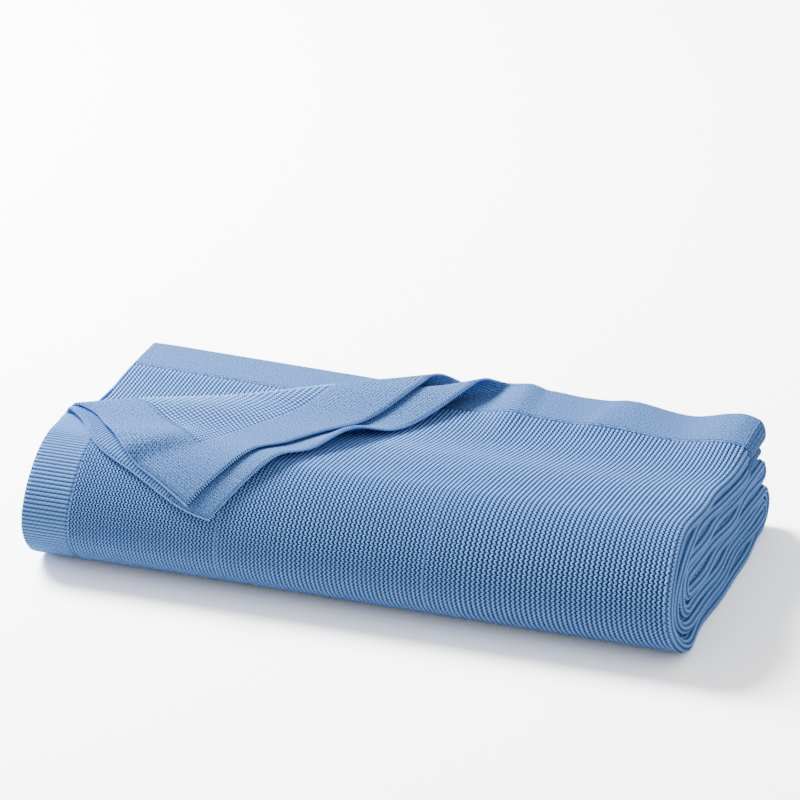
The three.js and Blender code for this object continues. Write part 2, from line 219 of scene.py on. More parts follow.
@dataclass(frozen=True)
class FoldedBundle:
    """The folds of the whole blanket: flat places go in and places in space come out.

    level_order is the order of the passes by their level from the top, and back_y where each
    level's back fold starts. Tables are pairs of place and value.
    """

    thickness: float = 2.1
    half_length: float = 285.75
    right_fold_x: float = 281.0
    left_fold_x: float = -283.0
    level_order: tuple[int, ...] = (0, 7, 4, 3, 2, 5, 6, 1)
    lowest_level: int = 7
    front_fold_y: float = -85.0
    back_y: tuple[float, ...] = (155, 150, 144, 144, 139, 139, 139, 139)
    straight_samples: int = 33
    front_samples: int = 45
    back_samples: int = 48
    widest_stretch: float = 0.17
    strip_thickness: Table = ((-25, 13.5), (35, 11.9), (95, 11.4))
    rounding: tuple[float, ...] = (-20, -12, -4, 4, 12, 20)
    pitch: float = 2.85
    lean: float = 14.0
    lean_z: Span = Span(35, 70)
    lean_y: Span = Span(-20, -90)
    left_rise: float = 8.0
    left_rise_x: Span = Span(80, -345)
    left_rise_y: Span = Span(35, 60)
    left_rise_z: Span = Span(6, 84)
    end_step: float = 9.0
    end_step_height: float = 100.0
    end_waves: tuple[Wave, ...] = (Wave(1.5, 167, 0.4), Wave(0.8, 97, 1.9))
    end_waves_x: Span = Span(225, 56)
    hem_lift: Table = (
        (0, 0), (40, 4), (75, 14), (93, 10), (127, 8), (172, 8.8), (220, 5), (268, 14), (290, 9),
    )
    hem_lift_reach: float = 115.0
    hem_lift_power: float = 1.1
    hem_ridge: Ridge = Ridge((145, 55), (165, 0), 2.4, 26, 11, Span(80, 30))
    hem_ridge_end: Span = Span(38, 36)
    hem_curl: Bump = Bump(10, -120, 34)
    hem_curl_reach: float = 22.0
    hem_curl_settle: float = 60.0
    crease_at_side: float = 204.0
    corner_a: TurnedCorner = TurnedCorner(72, 0, (-3, -12), (6, 38), 200, Bump(13, 130, 42))
    corner_b: TurnedCorner = TurnedCorner(38, 3.4, (-31, 23), (26, 14), 165, Bump(8, 130, 42))
    roll_at_side: float = 3.0
    roll_at_hem: float = 9.0
    clearance: float = 1.6
    settle_length: float = 70.0
    slack_length: float = 90.0
    sag_way: tuple[float, float] = (-0.8, 0.6)
    sag_reach: float = 110.0
    sag_settle: float = 40.0
    ripple: Bump = Bump(8, 250, 26)
    ripple_x: Span = Span(-150, 110)
    ripple_settle: float = 40.0
    flap_ridge: Ridge = Ridge((-285, 97), (-232, 50), 6.5, 24, 8, Span(25, 50))
    flap_ridge_settle: float = 20.0
    centre: tuple[float, float] = (4.5186, 8.7994)

    @cached_property
    def line(self) -> tuple[Array, ...]:
        """The strip's middle line: arc lengths from the top hem, y, z, and its direction."""
        y, z = [], []
        for number, level in enumerate(self.level_order):
            to_front = number % 2 == 0
            back = self.back_y[level]
            stops = np.linspace(back, self.front_fold_y, self.straight_samples)
            stops = stops if to_front else stops[::-1]
            for stop in stops if number == 0 else stops[1:]:
                y.append(stop)
                z.append(self.level_height(level, stop))
            if number == len(self.level_order) - 1:
                break
            following = self.level_order[number + 1]
            fold_y = self.front_fold_y if to_front else back
            top, low = self.level_height(level, fold_y), self.level_height(following, fold_y)
            half = (top - low) / 2
            span = (abs(following - level) - 1) / (self.lowest_level - 1)
            depth = abs(half) * (1 + self.widest_stretch * span) * (-1 if to_front else 1)
            count = self.front_samples if to_front else self.back_samples
            for k in range(1, count + 1):
                angle = math.pi * k / count
                y.append(fold_y + depth * math.sin(angle))
                z.append((top + low) / 2 + half * math.cos(angle))
        ys, zs = np.array(y), np.array(z)
        arc = np.r_[0.0, np.cumsum(np.hypot(np.diff(ys), np.diff(zs)))]
        ty, tz = np.gradient(ys), np.gradient(zs)
        size = np.hypot(ty, tz)
        return arc, ys, zs, ty / size, tz / size

    @property
    def length(self) -> float:
        """Length of the cloth from hem to hem along the strip."""
        return float(self.line[0][-1])

    def strip_at(self, y: Array) -> Array:
        """Thickness of the four-layer strip at y, its changes of slope rounded."""
        near = [look_up(self.strip_thickness, y + step, ramp) for step in self.rounding]
        return sum(near) / len(near)

    def level_height(self, level: int, y: float) -> float:
        """Height of the strip's middle on a level at y."""
        t = float(self.strip_at(np.float64(y)))
        outer = Layer.A.value * t / len(Layer)
        return self.thickness / 2 + outer + (self.lowest_level - level) * t

    def on_line(self, s: Array) -> tuple[Array, Array, Array, Array]:
        """Place and outward normal of the strip's middle line at arc length s."""
        arc, ys, zs, tys, tzs = self.line
        y, z, ty, tz = (np.interp(s, arc, values) for values in (ys, zs, tys, tzs))
        y = np.where(s < 0, y - s, y)
        size = np.hypot(ty, tz)
        return y, z, tz / size, -ty / size

    def on_bundle(self, x: Array, s: Array, level: Array, extra: Array = 0.0,
                  lift_level: Optional[Array] = None) -> Array:
        """Point of the folded bundle.

        Args:
            x: place along the strip.
            s: arc length from the top hem.
            level: place across the strip in layer pitches.
            extra: height outwards on top of that.
            lift_level: the level whose share of the hem's lift it takes.

        Returns:
            Points, in millimetres.
        """
        lift_level = level if lift_level is None else lift_level
        y, z, ny, nz = self.on_line(s)
        offset = level * self.strip_at(y) / len(Layer) + extra
        py, pz = y + ny * offset, z + nz * offset
        outer = Layer.A.value
        share = ((np.minimum(lift_level, outer) + outer) / (2 * outer)) ** self.hem_lift_power
        lift = look_up(self.hem_lift, x, ease) * (1 - ease(s / self.hem_lift_reach)) * share
        pz = pz + np.where(s < self.hem_lift_reach, lift, 0.0)
        py = py + self.lean * self.lean_z.share(pz) * self.lean_y.share(py)
        rise = self.left_rise_x.share(x, ramp) * self.left_rise_y.share(py, ramp)
        pz = pz + self.left_rise * rise * self.left_rise_z.share(pz)
        share = ramp(1 - pz / self.end_step_height) * (x + self.half_length)
        px = x + self.end_step * share / (2 * self.half_length)
        waves = sum(wave.reach * np.sin(math.tau * s / wave.length + wave.phase)
                    for wave in self.end_waves)
        px = px + waves * self.end_waves_x.share(x)
        return np.stack(np.broadcast_arrays(px, py, pz), -1)

    def crease(self, corner: TurnedCorner) -> Crease:
        """The crease of a turned corner."""
        return Crease((-self.half_length, self.crease_at_side), (corner.crease_hem_x, 0.0))

    def roll(self, corner: TurnedCorner, share: Array) -> Array:
        """Radius of a corner's roll at a share of its crease's length."""
        widen = (self.roll_at_hem - self.roll_at_side) * share
        return self.roll_at_side + widen + corner.roll_gap

    def on_turned(self, x: Array, s: Array, layer: Layer) -> Array:
        """Point of layer A or B, whose corner bends over its crease and lies back."""
        is_lower = layer is Layer.A
        corner = self.corner_a if is_lower else self.corner_b
        crease = self.crease(corner)
        level = layer.value
        q, run = crease.past(x, s), crease.run(x, s)
        radius = self.roll(corner, run / crease.length)
        angle = np.clip(q / radius, 0, math.pi)
        bent = self.on_bundle(
            *crease.place(run, radius * np.sin(angle)),
            level,
            radius * (1 - np.cos(angle)),
            level + (Layer.A.value - level) * angle / math.pi,
        )
        past = q - math.pi * radius
        px, ps = self.slid(corner, x, s, past, *crease.place(run, -past))
        distance = np.maximum(-self.crease(self.corner_a).past(px, ps), 0)
        rolled = 2 * self.roll(corner, crease.run(px, ps) / crease.length)
        # Once turned, layer A lies a pitch above its own level and layer B three
        rest = self.pitch * (1 if is_lower else 3) + self.clearance * (1 if is_lower else 2)
        up = self.ripple.rise(ps) * self.ripple_x.share(px) * ease(distance / self.ripple_settle)
        up = up + rolled + (rest - rolled) * ease(distance / self.settle_length)
        hem_rise = 0.0
        if is_lower:
            curl = self.hem_curl.rise(x) * (1 - ease(s / self.hem_curl_reach))
            up = up + curl * ease(past / self.hem_curl_settle)
            hem_rise = self.hem_ridge.rise(x, s) * (1 - self.hem_ridge_end.share(s))
        else:
            up = up + self.flap_ridge.rise(x, s) * ease(past / self.flap_ridge_settle)
        laid = self.on_bundle(px, ps, level, up, Layer.A.value)
        flat = self.on_bundle(x, s, level, hem_rise)
        return np.where((q <= 0)[..., None], flat, np.where((past < 0)[..., None], bent, laid))

    def slid(self, corner: TurnedCorner, x: Array, s: Array, past: Array, px: Array,
             ps: Array) -> tuple[Array, Array]:
        """Where the turned cloth has slid to on the bundle.

        Args:
            corner: the turned corner.
            x: flat place across.
            s: flat place along.
            past: how far the flat place lies past the roll.
            px: place across that the plain turn gives.
            ps: place along that the plain turn gives.

        Returns:
            The places across and along after the slide.
        """
        slack = ease(past / self.slack_length)
        bow = np.sin(math.pi * ramp(past / corner.bow_length))
        sag = corner.sag.rise(s) * ease(past / self.sag_settle)
        sag = sag * (1 - ease((x + self.half_length) / self.sag_reach))
        px = px + corner.slack[0] * slack + corner.bow[0] * bow + self.sag_way[0] * sag
        ps = ps + corner.slack[1] * slack + corner.bow[1] * bow + self.sag_way[1] * sag
        return px, ps


@dataclass(frozen=True)
class Run:
    """A straight layer of the strip, or one of the folds between two layers.

    A layer's place t is its x, and a fold's t is the arc length round it.
    """

    bundle: FoldedBundle
    layer: Optional[Layer] = None
    fold_x: float = 0.0
    side: int = 1
    centre: float = 0.0
    radius: float = 1.5
    turn: int = 1

    @property
    def fold_length(self) -> float:
        """Arc length of a fold at the blanket's usual pitch."""
        return math.pi * self.radius * self.bundle.pitch

    def place(self, t: Array, v: Array) -> Array:
        """Point in millimetres of the flat place t across and v along."""
        if self.layer in (Layer.A, Layer.B):
            return self.bundle.on_turned(t, v, self.layer)
        if self.layer is not None:
            return self.bundle.on_bundle(t, v, self.layer.value)
        angle = math.pi * t / self.fold_length
        y = self.bundle.on_line(v)[0]
        pitch = self.bundle.strip_at(y) / len(Layer)
        x = self.fold_x + self.side * self.radius * pitch * np.sin(angle)
        return self.bundle.on_bundle(x, v, self.centre + self.turn * self.radius * np.cos(angle))

    def normal(self, t: Array, v: Array, step: float = 0.3) -> Array:
        """Unit normal on the side of a higher level, or on the outer side of a fold."""
        across = self.place(t + step, v) - self.place(t - step, v)
        along = self.place(t, v + step) - self.place(t, v - step)
        n = np.cross(along, across)
        return n / np.maximum(np.linalg.norm(n, axis=-1, keepdims=True), SAME_PLACE)


def counted(pitches: Table, places: Array) -> Array:
    """Stitches counted from the first of the places, where their pitch changes on the way."""
    pitch = look_up(pitches, places, ramp)
    return np.r_[0.0, np.cumsum(np.diff(places) * 2 / (pitch[1:] + pitch[:-1]))]


@dataclass(frozen=True)
class KnitGauge:
    """The knit's pattern on the flat cloth: zigzag cords, ribbed side borders, smooth ends.

    The tables pitches and lean_across go by the place across, and the others by the place
    along. rows_each is the number of mesh rows for a row of the knit. On a rounded end fold
    the zigzag fades over fade cords and the cords keep fold_share of their relief.
    """

    side_border: float = 43.0
    side_fade: float = 2.0
    end_border: float = 50.0
    end_fade: float = 1.2
    pitches: Table = ((-285, 3.2), (-60, 3.9), (281, 3.85))
    row_pitches: Table = ((0, 4.1), (170, 4.1), (225, 3.35))
    zigzag: Table = ((170, 0.85), (250, 1.12))
    straight_cords: float = 0.5
    border_step: float = 4.3
    end_step: float = 2.6
    seam_rows: tuple[float, ...] = (-1.3, -0.5, 0.0)
    seam_middle: float = -0.4
    seam_width: float = 1.5
    seam_strength: float = 1.4
    finest: int = 4
    rows_each: Table = ((0, 4), (352, 2))
    least_rows: int = 2
    fade: float = 2.0
    fold_share: float = 0.8
    lean_along: Table = ((50, 0), (90, 2), (250, 17), (402, 22))
    lean_across: Table = ((-243, 0), (-40, 1), (120, 1), (281, 0))
    longest: float = 3000.0
    count_step: float = 0.5
    column_samples: int = 2000

    def row_count(self, v: Array, invert: bool = False) -> Array:
        """Rows of the knit from the end border to v, or the v at a count of rows."""
        fine = np.linspace(0, self.longest, round(self.longest / self.count_step) + 1)
        count = counted(self.row_pitches, fine)
        count = count - np.interp(self.end_border, fine, count)
        return np.interp(v, count, fine) if invert else np.interp(v, fine, count)

    def drift(self, t: Array, v: Array) -> Array:
        """How far the cords have slid along the strip where the cloth was smoothed down."""
        return -look_up(self.lean_along, v, ramp) * look_up(self.lean_across, t, ramp)

    def body_columns(self, start: float, end: float, per_cord: int) -> tuple[Array, Array]:
        """Places and cord counts of the columns between two places of a layer."""
        fine = np.linspace(start, end, self.column_samples)
        count = counted(self.pitches, fine)
        cords = round(float(count[-1]))
        n = np.arange(cords * per_cord + 1) / per_cord
        return np.interp(n, count * cords / count[-1], fine), n

    def columns(self, bundle: FoldedBundle, layer: Layer, per_cord: int) -> tuple[Array, Array]:
        """Places x and cord counts of a whole layer's columns."""
        if layer in (Layer.C, Layer.D):
            return self.body_columns(bundle.left_fold_x, bundle.right_fold_x, per_cord)
        start = -bundle.half_length
        inner = start + self.side_border
        count = round(self.side_border / self.border_step)
        border = np.linspace(start, inner, count + 1)[:-1]
        t, n = self.body_columns(inner, bundle.right_fold_x, per_cord)
        return np.r_[border, t], np.r_[(border - inner) / self.border_step, n]

    def rows(self, length: float) -> Array:
        """Places v of the mesh rows of the fine knit, from the hem to a length."""
        count = round((self.end_border + self.seam_rows[0]) / self.end_step)
        border = np.linspace(0, self.end_border + self.seam_rows[0], count + 1)
        seam = self.end_border + np.array(self.seam_rows[1:])
        step = np.arange(1, int(self.row_count(length) * self.finest) + 1)
        body = self.row_count(step / self.finest, True)
        each = np.maximum(look_up(self.rows_each, body, stairs), self.least_rows)
        return np.r_[border, seam, body[np.mod(step, np.round(self.finest / each)) == 0]]

    def seam(self, v: Array) -> Array:
        """Share of the seam line between the end border and the body, which deepens its groove and
        paints shade in it.
        """
        off = np.abs(v - self.end_border - self.seam_middle)
        return np.clip(self.seam_strength - off / self.seam_width, 0, 1)

    @staticmethod
    def border(distance: Array, width: float, fade: float) -> Array:
        """Share of a border of a width at a distance from its edge."""
        return 1 - ease((distance - width + fade / 2) / fade)


class Fine(Enum):
    """Which skin of a panel carries the knit's relief."""

    UPPER = 1
    LOWER = -1
    BOTH = 2


@dataclass
class ClothPanel:
    """A rectangle of the cloth as a closed sheet with a fine skin and a plain one.

    columns are the places t across, cords their cord counts and rows the places v along.
    every is the step of the plain skin's mesh in columns and rows.
    """

    run: Run
    gauge: KnitGauge
    columns: Array
    cords: Array
    rows: Array
    fine: Fine = Fine.UPPER
    every: int = 8
    has_side_border: bool = False
    is_smooth_border: bool = False

    def zones(self, t: Array, v: Array) -> tuple[Array, Array, Array]:
        """Shares of the body, the side border and the end border at flat places."""
        gauge = self.gauge
        length = self.run.bundle.length
        end = gauge.border(np.minimum(v, length - v), gauge.end_border, gauge.end_fade)
        side = np.zeros_like(t)
        if self.has_side_border:
            from_edge = t + self.run.bundle.half_length
            side = gauge.border(from_edge, gauge.side_border, gauge.side_fade)
        side = side * (1 - end)
        body = np.clip(1 - side - end, 0, 1)
        if self.is_smooth_border:
            side, end = np.zeros_like(side), 1 - body
        return body, side, end

    def skin(self, across: Array, along: Array, side: int) -> dict[str, Array]:
        """Points and values of one skin.

        Args:
            across: indices of the columns that it uses.
            along: indices of the rows that it uses.
            side: 1 for the upper skin and -1 for the lower one.

        Returns:
            Arrays by name, one row for each point.
        """
        t, v = np.meshgrid(self.columns[across], self.rows[along], indexing="ij")
        cord, _ = np.meshgrid(self.cords[across], self.rows[along], indexing="ij")
        gauge, run = self.gauge, self.run
        row = gauge.row_count(v)
        body, edge, end = self.zones(t, v)
        # The outermost cords stay straight, as their neighbours are straight too
        weave = body * ease(cord / gauge.straight_cords)
        if run.layer is None:
            weave = body * ease(1 - cord / gauge.fade)
            body = body * (1 - ease(cord) * (1 - gauge.fold_share))
        # A row of the knit is one turn of the zigzag, from 1 to -1 and back
        turn = np.abs(2 * np.mod(row, 1.0) - 1) * 2 - 1
        shifted = t + weave * look_up(gauge.zigzag, v, ramp) * turn
        if run.layer is Layer.A:
            shifted = shifted + gauge.drift(t, v)
        normal = run.normal(shifted, v)
        point = run.place(shifted, v) + normal * side * run.bundle.thickness / 2
        seam = gauge.seam(v) * (1 - edge) * (not self.is_smooth_border)
        flat = np.stack([t, v, seam], -1)
        return {
            "point": point.reshape(-1, 3),
            "out": (normal * side).reshape(-1, 3),
            "uv": np.stack([cord, row], -1).reshape(-1, 2),
            "zone": np.stack([body, edge, end], -1).reshape(-1, 3),
            "flat": flat.reshape(-1, 3),
        }

    def build(self) -> tuple[dict[str, Array], list[Array]]:
        """Points with their values, and faces, of the closed sheet."""
        side = -1 if self.fine is Fine.LOWER else 1
        nt, nv = len(self.columns), len(self.rows)
        has_both = self.fine is Fine.BOTH
        every = 1 if has_both else self.every
        pick_t = np.unique(np.r_[np.arange(0, nt, every), nt - 1])
        pick_v = np.unique(np.r_[np.arange(0, nv, every), nv - 1])
        top = self.skin(np.arange(nt), np.arange(nv), side)
        low = self.skin(pick_t, pick_v, -side)
        values = {name: np.concatenate([top[name], low[name]]) for name in top}
        values["relief"] = np.r_[np.ones(nt * nv), np.full(len(low["point"]), float(has_both))]
        values["seed"] = np.full(len(values["relief"]), float(self.fine is Fine.LOWER))
        top_ids = np.arange(nt * nv).reshape(nt, nv)
        low_ids = nt * nv + np.arange(len(pick_t) * len(pick_v)).reshape(len(pick_t), len(pick_v))
        quads = np.concatenate([self.quads(top_ids, side > 0), self.quads(low_ids, side < 0)])
        rim = self.rim(top_ids, low_ids, pick_t, pick_v)
        if side < 0:
            rim = rim[:, ::-1]
        return values, [quads, rim]

    @staticmethod
    def quads(ids: Array, upwards: bool) -> Array:
        """Quads of a grid of ids, facing the upper side or the lower one."""
        a, b, c, d = ids[:-1, :-1], ids[:-1, 1:], ids[1:, 1:], ids[1:, :-1]
        faces = np.stack([a, b, c, d] if upwards else [a, d, c, b], -1)
        return faces.reshape(-1, 4)

    @staticmethod
    def rim(top: Array, low: Array, pick_t: Array, pick_v: Array) -> Array:
        """Triangles that join the two skins round their edge."""
        nt, nv = top.shape
        low_of = {}
        for i, t in enumerate(pick_t):
            for j, v in enumerate(pick_v):
                if t in (0, nt - 1) or v in (0, nv - 1):
                    low_of[int(top[t, v])] = int(low[i, j])
        loop = [*top[:-1, 0], *top[-1, :-1], *top[:0:-1, -1], *top[0, :0:-1]]
        loop = [int(i) for i in loop] + [int(top[0, 0])]
        triangles = []
        last = low_of[loop[0]]
        for here, there in zip(loop[:-1], loop[1:]):
            triangles.append((here, there, last))
            if there in low_of:
                triangles.append((there, low_of[there], last))
                last = low_of[there]
        return np.array(triangles)


class Graph:
    """A node tree with short calls for the nodes that the blanket uses."""

    def __init__(self, tree: bpy.types.NodeTree) -> None:
        """Takes the tree that the nodes go into."""
        self.tree = tree

    def add(self, kind: str, **settings: object) -> bpy.types.Node:
        """A new node with its settings."""
        node = self.tree.nodes.new(kind)
        for name, value in settings.items():
            setattr(node, name, value)
        return node

    def set(self, socket: bpy.types.NodeSocket, value: object) -> None:
        """Links a socket to another, or gives it a number or colour."""
        if isinstance(value, bpy.types.NodeSocket):
            self.tree.links.new(value, socket)
        else:
            socket.default_value = value

    def math(self, operation: str, *values: object, clamp: bool = False) -> bpy.types.NodeSocket:
        """Output of a math node."""
        node = self.add("ShaderNodeMath", operation=operation, use_clamp=clamp)
        for socket, value in zip(node.inputs, values):
            self.set(socket, value)
        return node.outputs[0]

    def times(self, first: object, second: object) -> bpy.types.NodeSocket:
        """One number times another."""
        return self.math("MULTIPLY", first, second)

    def plus(self, first: object, second: object) -> bpy.types.NodeSocket:
        """One number plus another."""
        return self.math("ADD", first, second)

    def minus(self, first: object, second: object) -> bpy.types.NodeSocket:
        """One number less another."""
        return self.math("SUBTRACT", first, second)

    def wave(self, turns: bpy.types.NodeSocket, times: float = 1.0) -> bpy.types.NodeSocket:
        """Smooth wave from 1 at whole turns to 0 at half ones."""
        angle = self.times(turns, 2 * math.pi * times)
        return self.math("MULTIPLY_ADD", self.math("COSINE", angle), 0.5, 0.5)

    def blend(self, first: object, second: object,
              share: bpy.types.NodeSocket) -> bpy.types.NodeSocket:
        """The first number where the share is 0 and the second where it is 1."""
        return self.math("MULTIPLY_ADD", self.minus(second, first), share, first)

    def split(self, vector: bpy.types.NodeSocket) -> list[bpy.types.NodeSocket]:
        """The three numbers of a vector."""
        node = self.add("ShaderNodeSeparateXYZ")
        self.set(node.inputs[0], vector)
        return list(node.outputs)

    def carried(self, name: str, output: str = "Vector") -> bpy.types.NodeSocket:
        """What a mesh carries for its material, by the attribute's name."""
        return self.add("ShaderNodeAttribute", attribute_name=name).outputs[output]


class GeometryGraph(Graph):
    """A geometry node tree with named sizes, which ends in a real mesh with its material."""

    def __init__(self, name: str, sizes: dict[str, float]) -> None:
        """Makes the tree with its inputs.

        Args:
            name: the tree's name.
            sizes: the inputs by their names, with their usual values.
        """
        tree = bpy.data.node_groups.new(name, "GeometryNodeTree")
        face = tree.interface
        face.new_socket("Geometry", in_out="INPUT", socket_type="NodeSocketGeometry")
        for title, value in sizes.items():
            socket = face.new_socket(title, in_out="INPUT", socket_type="NodeSocketFloat")
            socket.default_value = value
        face.new_socket("Geometry", in_out="OUTPUT", socket_type="NodeSocketGeometry")
        super().__init__(tree)
        self.given = self.add("NodeGroupInput").outputs

    def named(self, name: str, kind: str = "FLOAT_VECTOR") -> bpy.types.NodeSocket:
        """What the given geometry carries on its points, by the attribute's name."""
        node = self.add("GeometryNodeInputNamedAttribute", data_type=kind)
        node.inputs["Name"].default_value = name
        return node.outputs["Attribute"]

    def close(self, geometry: bpy.types.NodeSocket, material: bpy.types.Material) -> None:
        """Ends the tree with a geometry, made real and given its material."""
        real = self.add("GeometryNodeRealizeInstances")
        self.set(real.inputs[0], geometry)
        dress = self.add("GeometryNodeSetMaterial")
        self.set(dress.inputs["Geometry"], real.outputs[0])
        dress.inputs["Material"].default_value = material
        self.set(self.add("NodeGroupOutput").inputs[0], dress.outputs[0])


@dataclass(frozen=True)
class KnitRelief:
    """The knit's relief, raised on a panel's fine skin along its outward direction."""

    cord_height: float = 0.6
    cord_depth: float = 1.5
    bridge: float = 0.6
    stitch_dip: float = 0.85
    rib_height: float = 0.25
    rib_depth: float = 0.75
    seam_depth: float = 1.2
    unevenness: float = 0.3
    lump_scale: float = 0.55

    def tree(self, material: bpy.types.Material) -> bpy.types.NodeTree:
        """The geometry nodes that raise the knit."""
        g = GeometryGraph("knit_relief", self.inputs())
        size = g.given
        count = g.named("count")
        cord, row, _ = g.split(count)
        body, side, _ = g.split(g.named("zone"))
        seed = g.named("seed", "FLOAT")
        top = g.wave(cord)
        turn = g.wave(row, 2.0)
        dot = g.times(top, g.wave(g.plus(cord, row)))
        pit = g.blend(size["Bridge"], 1.0, turn)
        low = g.blend(g.times(g.minus(1.0, top), pit), g.minus(1.0, dot), seed)
        dip = g.minus(1.0, g.times(turn, size["Stitch dip"]))
        stitch = g.times(g.blend(g.times(top, dip), dot, seed), size["Cord height"])
        cords = g.minus(stitch, g.times(low, size["Cord depth"]))
        rib = g.wave(row)
        groove = g.times(g.minus(1.0, rib), size["Rib depth"])
        ribs = g.minus(g.times(rib, size["Rib height"]), groove)
        height = g.plus(g.times(cords, body), g.times(ribs, side))
        seam = g.split(g.named("flat"))[2]
        height = g.minus(height, g.times(seam, size["Seam depth"]))
        noise = g.add("ShaderNodeTexNoise", noise_dimensions="2D")
        g.set(noise.inputs["Vector"], count)
        noise.inputs["Scale"].default_value = self.lump_scale
        lump = g.times(g.minus(noise.outputs["Fac"], 0.5), size["Unevenness"])
        height = g.times(g.plus(height, lump), g.named("relief", "FLOAT"))
        offset = g.add("ShaderNodeVectorMath", operation="SCALE")
        g.set(offset.inputs[0], g.named("out"))
        g.set(offset.inputs["Scale"], height)
        move = g.add("GeometryNodeSetPosition")
        g.set(move.inputs["Geometry"], size["Geometry"])
        g.set(move.inputs["Offset"], offset.outputs[0])
        g.close(move.outputs[0], material)
        return g.tree

    def inputs(self) -> dict[str, float]:
        """The tree's named sizes, in metres where they are lengths."""
        return {
            "Cord height": self.cord_height * METRES,
            "Cord depth": self.cord_depth * METRES,
            "Bridge": self.bridge,
            "Stitch dip": self.stitch_dip,
            "Rib height": self.rib_height * METRES,
            "Rib depth": self.rib_depth * METRES,
            "Seam depth": self.seam_depth * METRES,
            "Unevenness": self.unevenness * METRES,
        }


def dressed(raw_mesh: bpy.types.Mesh, name: str, tree: bpy.types.NodeTree,
            sizes: dict[str, float], material: bpy.types.Material) -> bpy.types.Object:
    """A finished piece: what a geometry node tree makes of a raw mesh.

    Args:
        raw_mesh: the mesh that the tree starts from, which is deleted.
        name: the piece's name.
        tree: the geometry nodes.
        sizes: values by the names of the tree's inputs.
        material: the piece's material.

    Returns:
        The piece, with no modifier. It rides on the body and stands for the solid.
    """
    raw = bpy.data.objects.new(name + "_raw", raw_mesh)
    bpy.context.scene.collection.objects.link(raw)
    modifier = raw.modifiers.new("grow", "NODES")
    modifier.node_group = tree
    for item in tree.interface.items_tree:
        if item.in_out == "INPUT" and item.name in sizes:
            modifier[item.identifier] = sizes[item.name]
    depsgraph = bpy.context.evaluated_depsgraph_get()
    mesh = bpy.data.meshes.new_from_object(raw.evaluated_get(depsgraph),
                                           preserve_all_data_layers=True, depsgraph=depsgraph)
    bpy.data.objects.remove(raw)
    bpy.data.meshes.remove(raw_mesh)
    mesh.name = name
    mesh.materials.clear()
    mesh.materials.append(material)
    mesh.update()
    piece = bpy.data.objects.new(name, mesh)
    bpy.context.scene.collection.objects.link(piece)
    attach(piece, BODY)
    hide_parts(CAD_NODE)
    LOG.info("%s: %d triangles", name, len(mesh.loops) - 2 * len(mesh.polygons))
    return piece


def carry(mesh: bpy.types.Mesh, name: str, data: Array) -> None:
    """Stores a number or a vector for each point of a mesh."""
    kind, key = ("FLOAT", "value") if data.ndim == 1 else ("FLOAT_VECTOR", "vector")
    layer = mesh.attributes.new(name, kind, "POINT")
    layer.data.foreach_set(key, data.astype(np.float32).ravel())


def mesh_of(name: str, values: dict[str, Array], faces: Sequence[Array]) -> bpy.types.Mesh:
    """A smooth mesh with the cloth's values on its points.

    Args:
        name: the mesh's name.
        values: points in metres, and what each carries.
        faces: arrays of faces, one array for each number of corners.

    Returns:
        The mesh.
    """
    mesh = bpy.data.meshes.new(name)
    corners = np.concatenate([f.ravel() for f in faces]).astype(np.int32)
    counts = np.concatenate([np.full(len(f), f.shape[1]) for f in faces])
    starts = np.r_[0, np.cumsum(counts)[:-1]].astype(np.int32)
    mesh.vertices.add(len(values["point"]))
    mesh.vertices.foreach_set("co", values["point"].astype(np.float32).ravel())
    mesh.loops.add(len(corners))
    mesh.loops.foreach_set("vertex_index", corners)
    mesh.polygons.add(len(counts))
    mesh.polygons.foreach_set("loop_start", starts)
    mesh.update(calc_edges=True)
    # The cut edges stay flat, so that they don't turn the normals of the skins beside them
    mesh.polygons.foreach_set("use_smooth", counts == 4)
    uv = mesh.uv_layers.new(name="knit")
    uv.data.foreach_set("uv", values["uv"][corners].astype(np.float32).ravel())
    carry(mesh, "count", np.c_[values["uv"], np.zeros(len(values["uv"]))])
    for title in ("zone", "flat", "out", "relief", "seed"):
        carry(mesh, title, values[title])
    return mesh


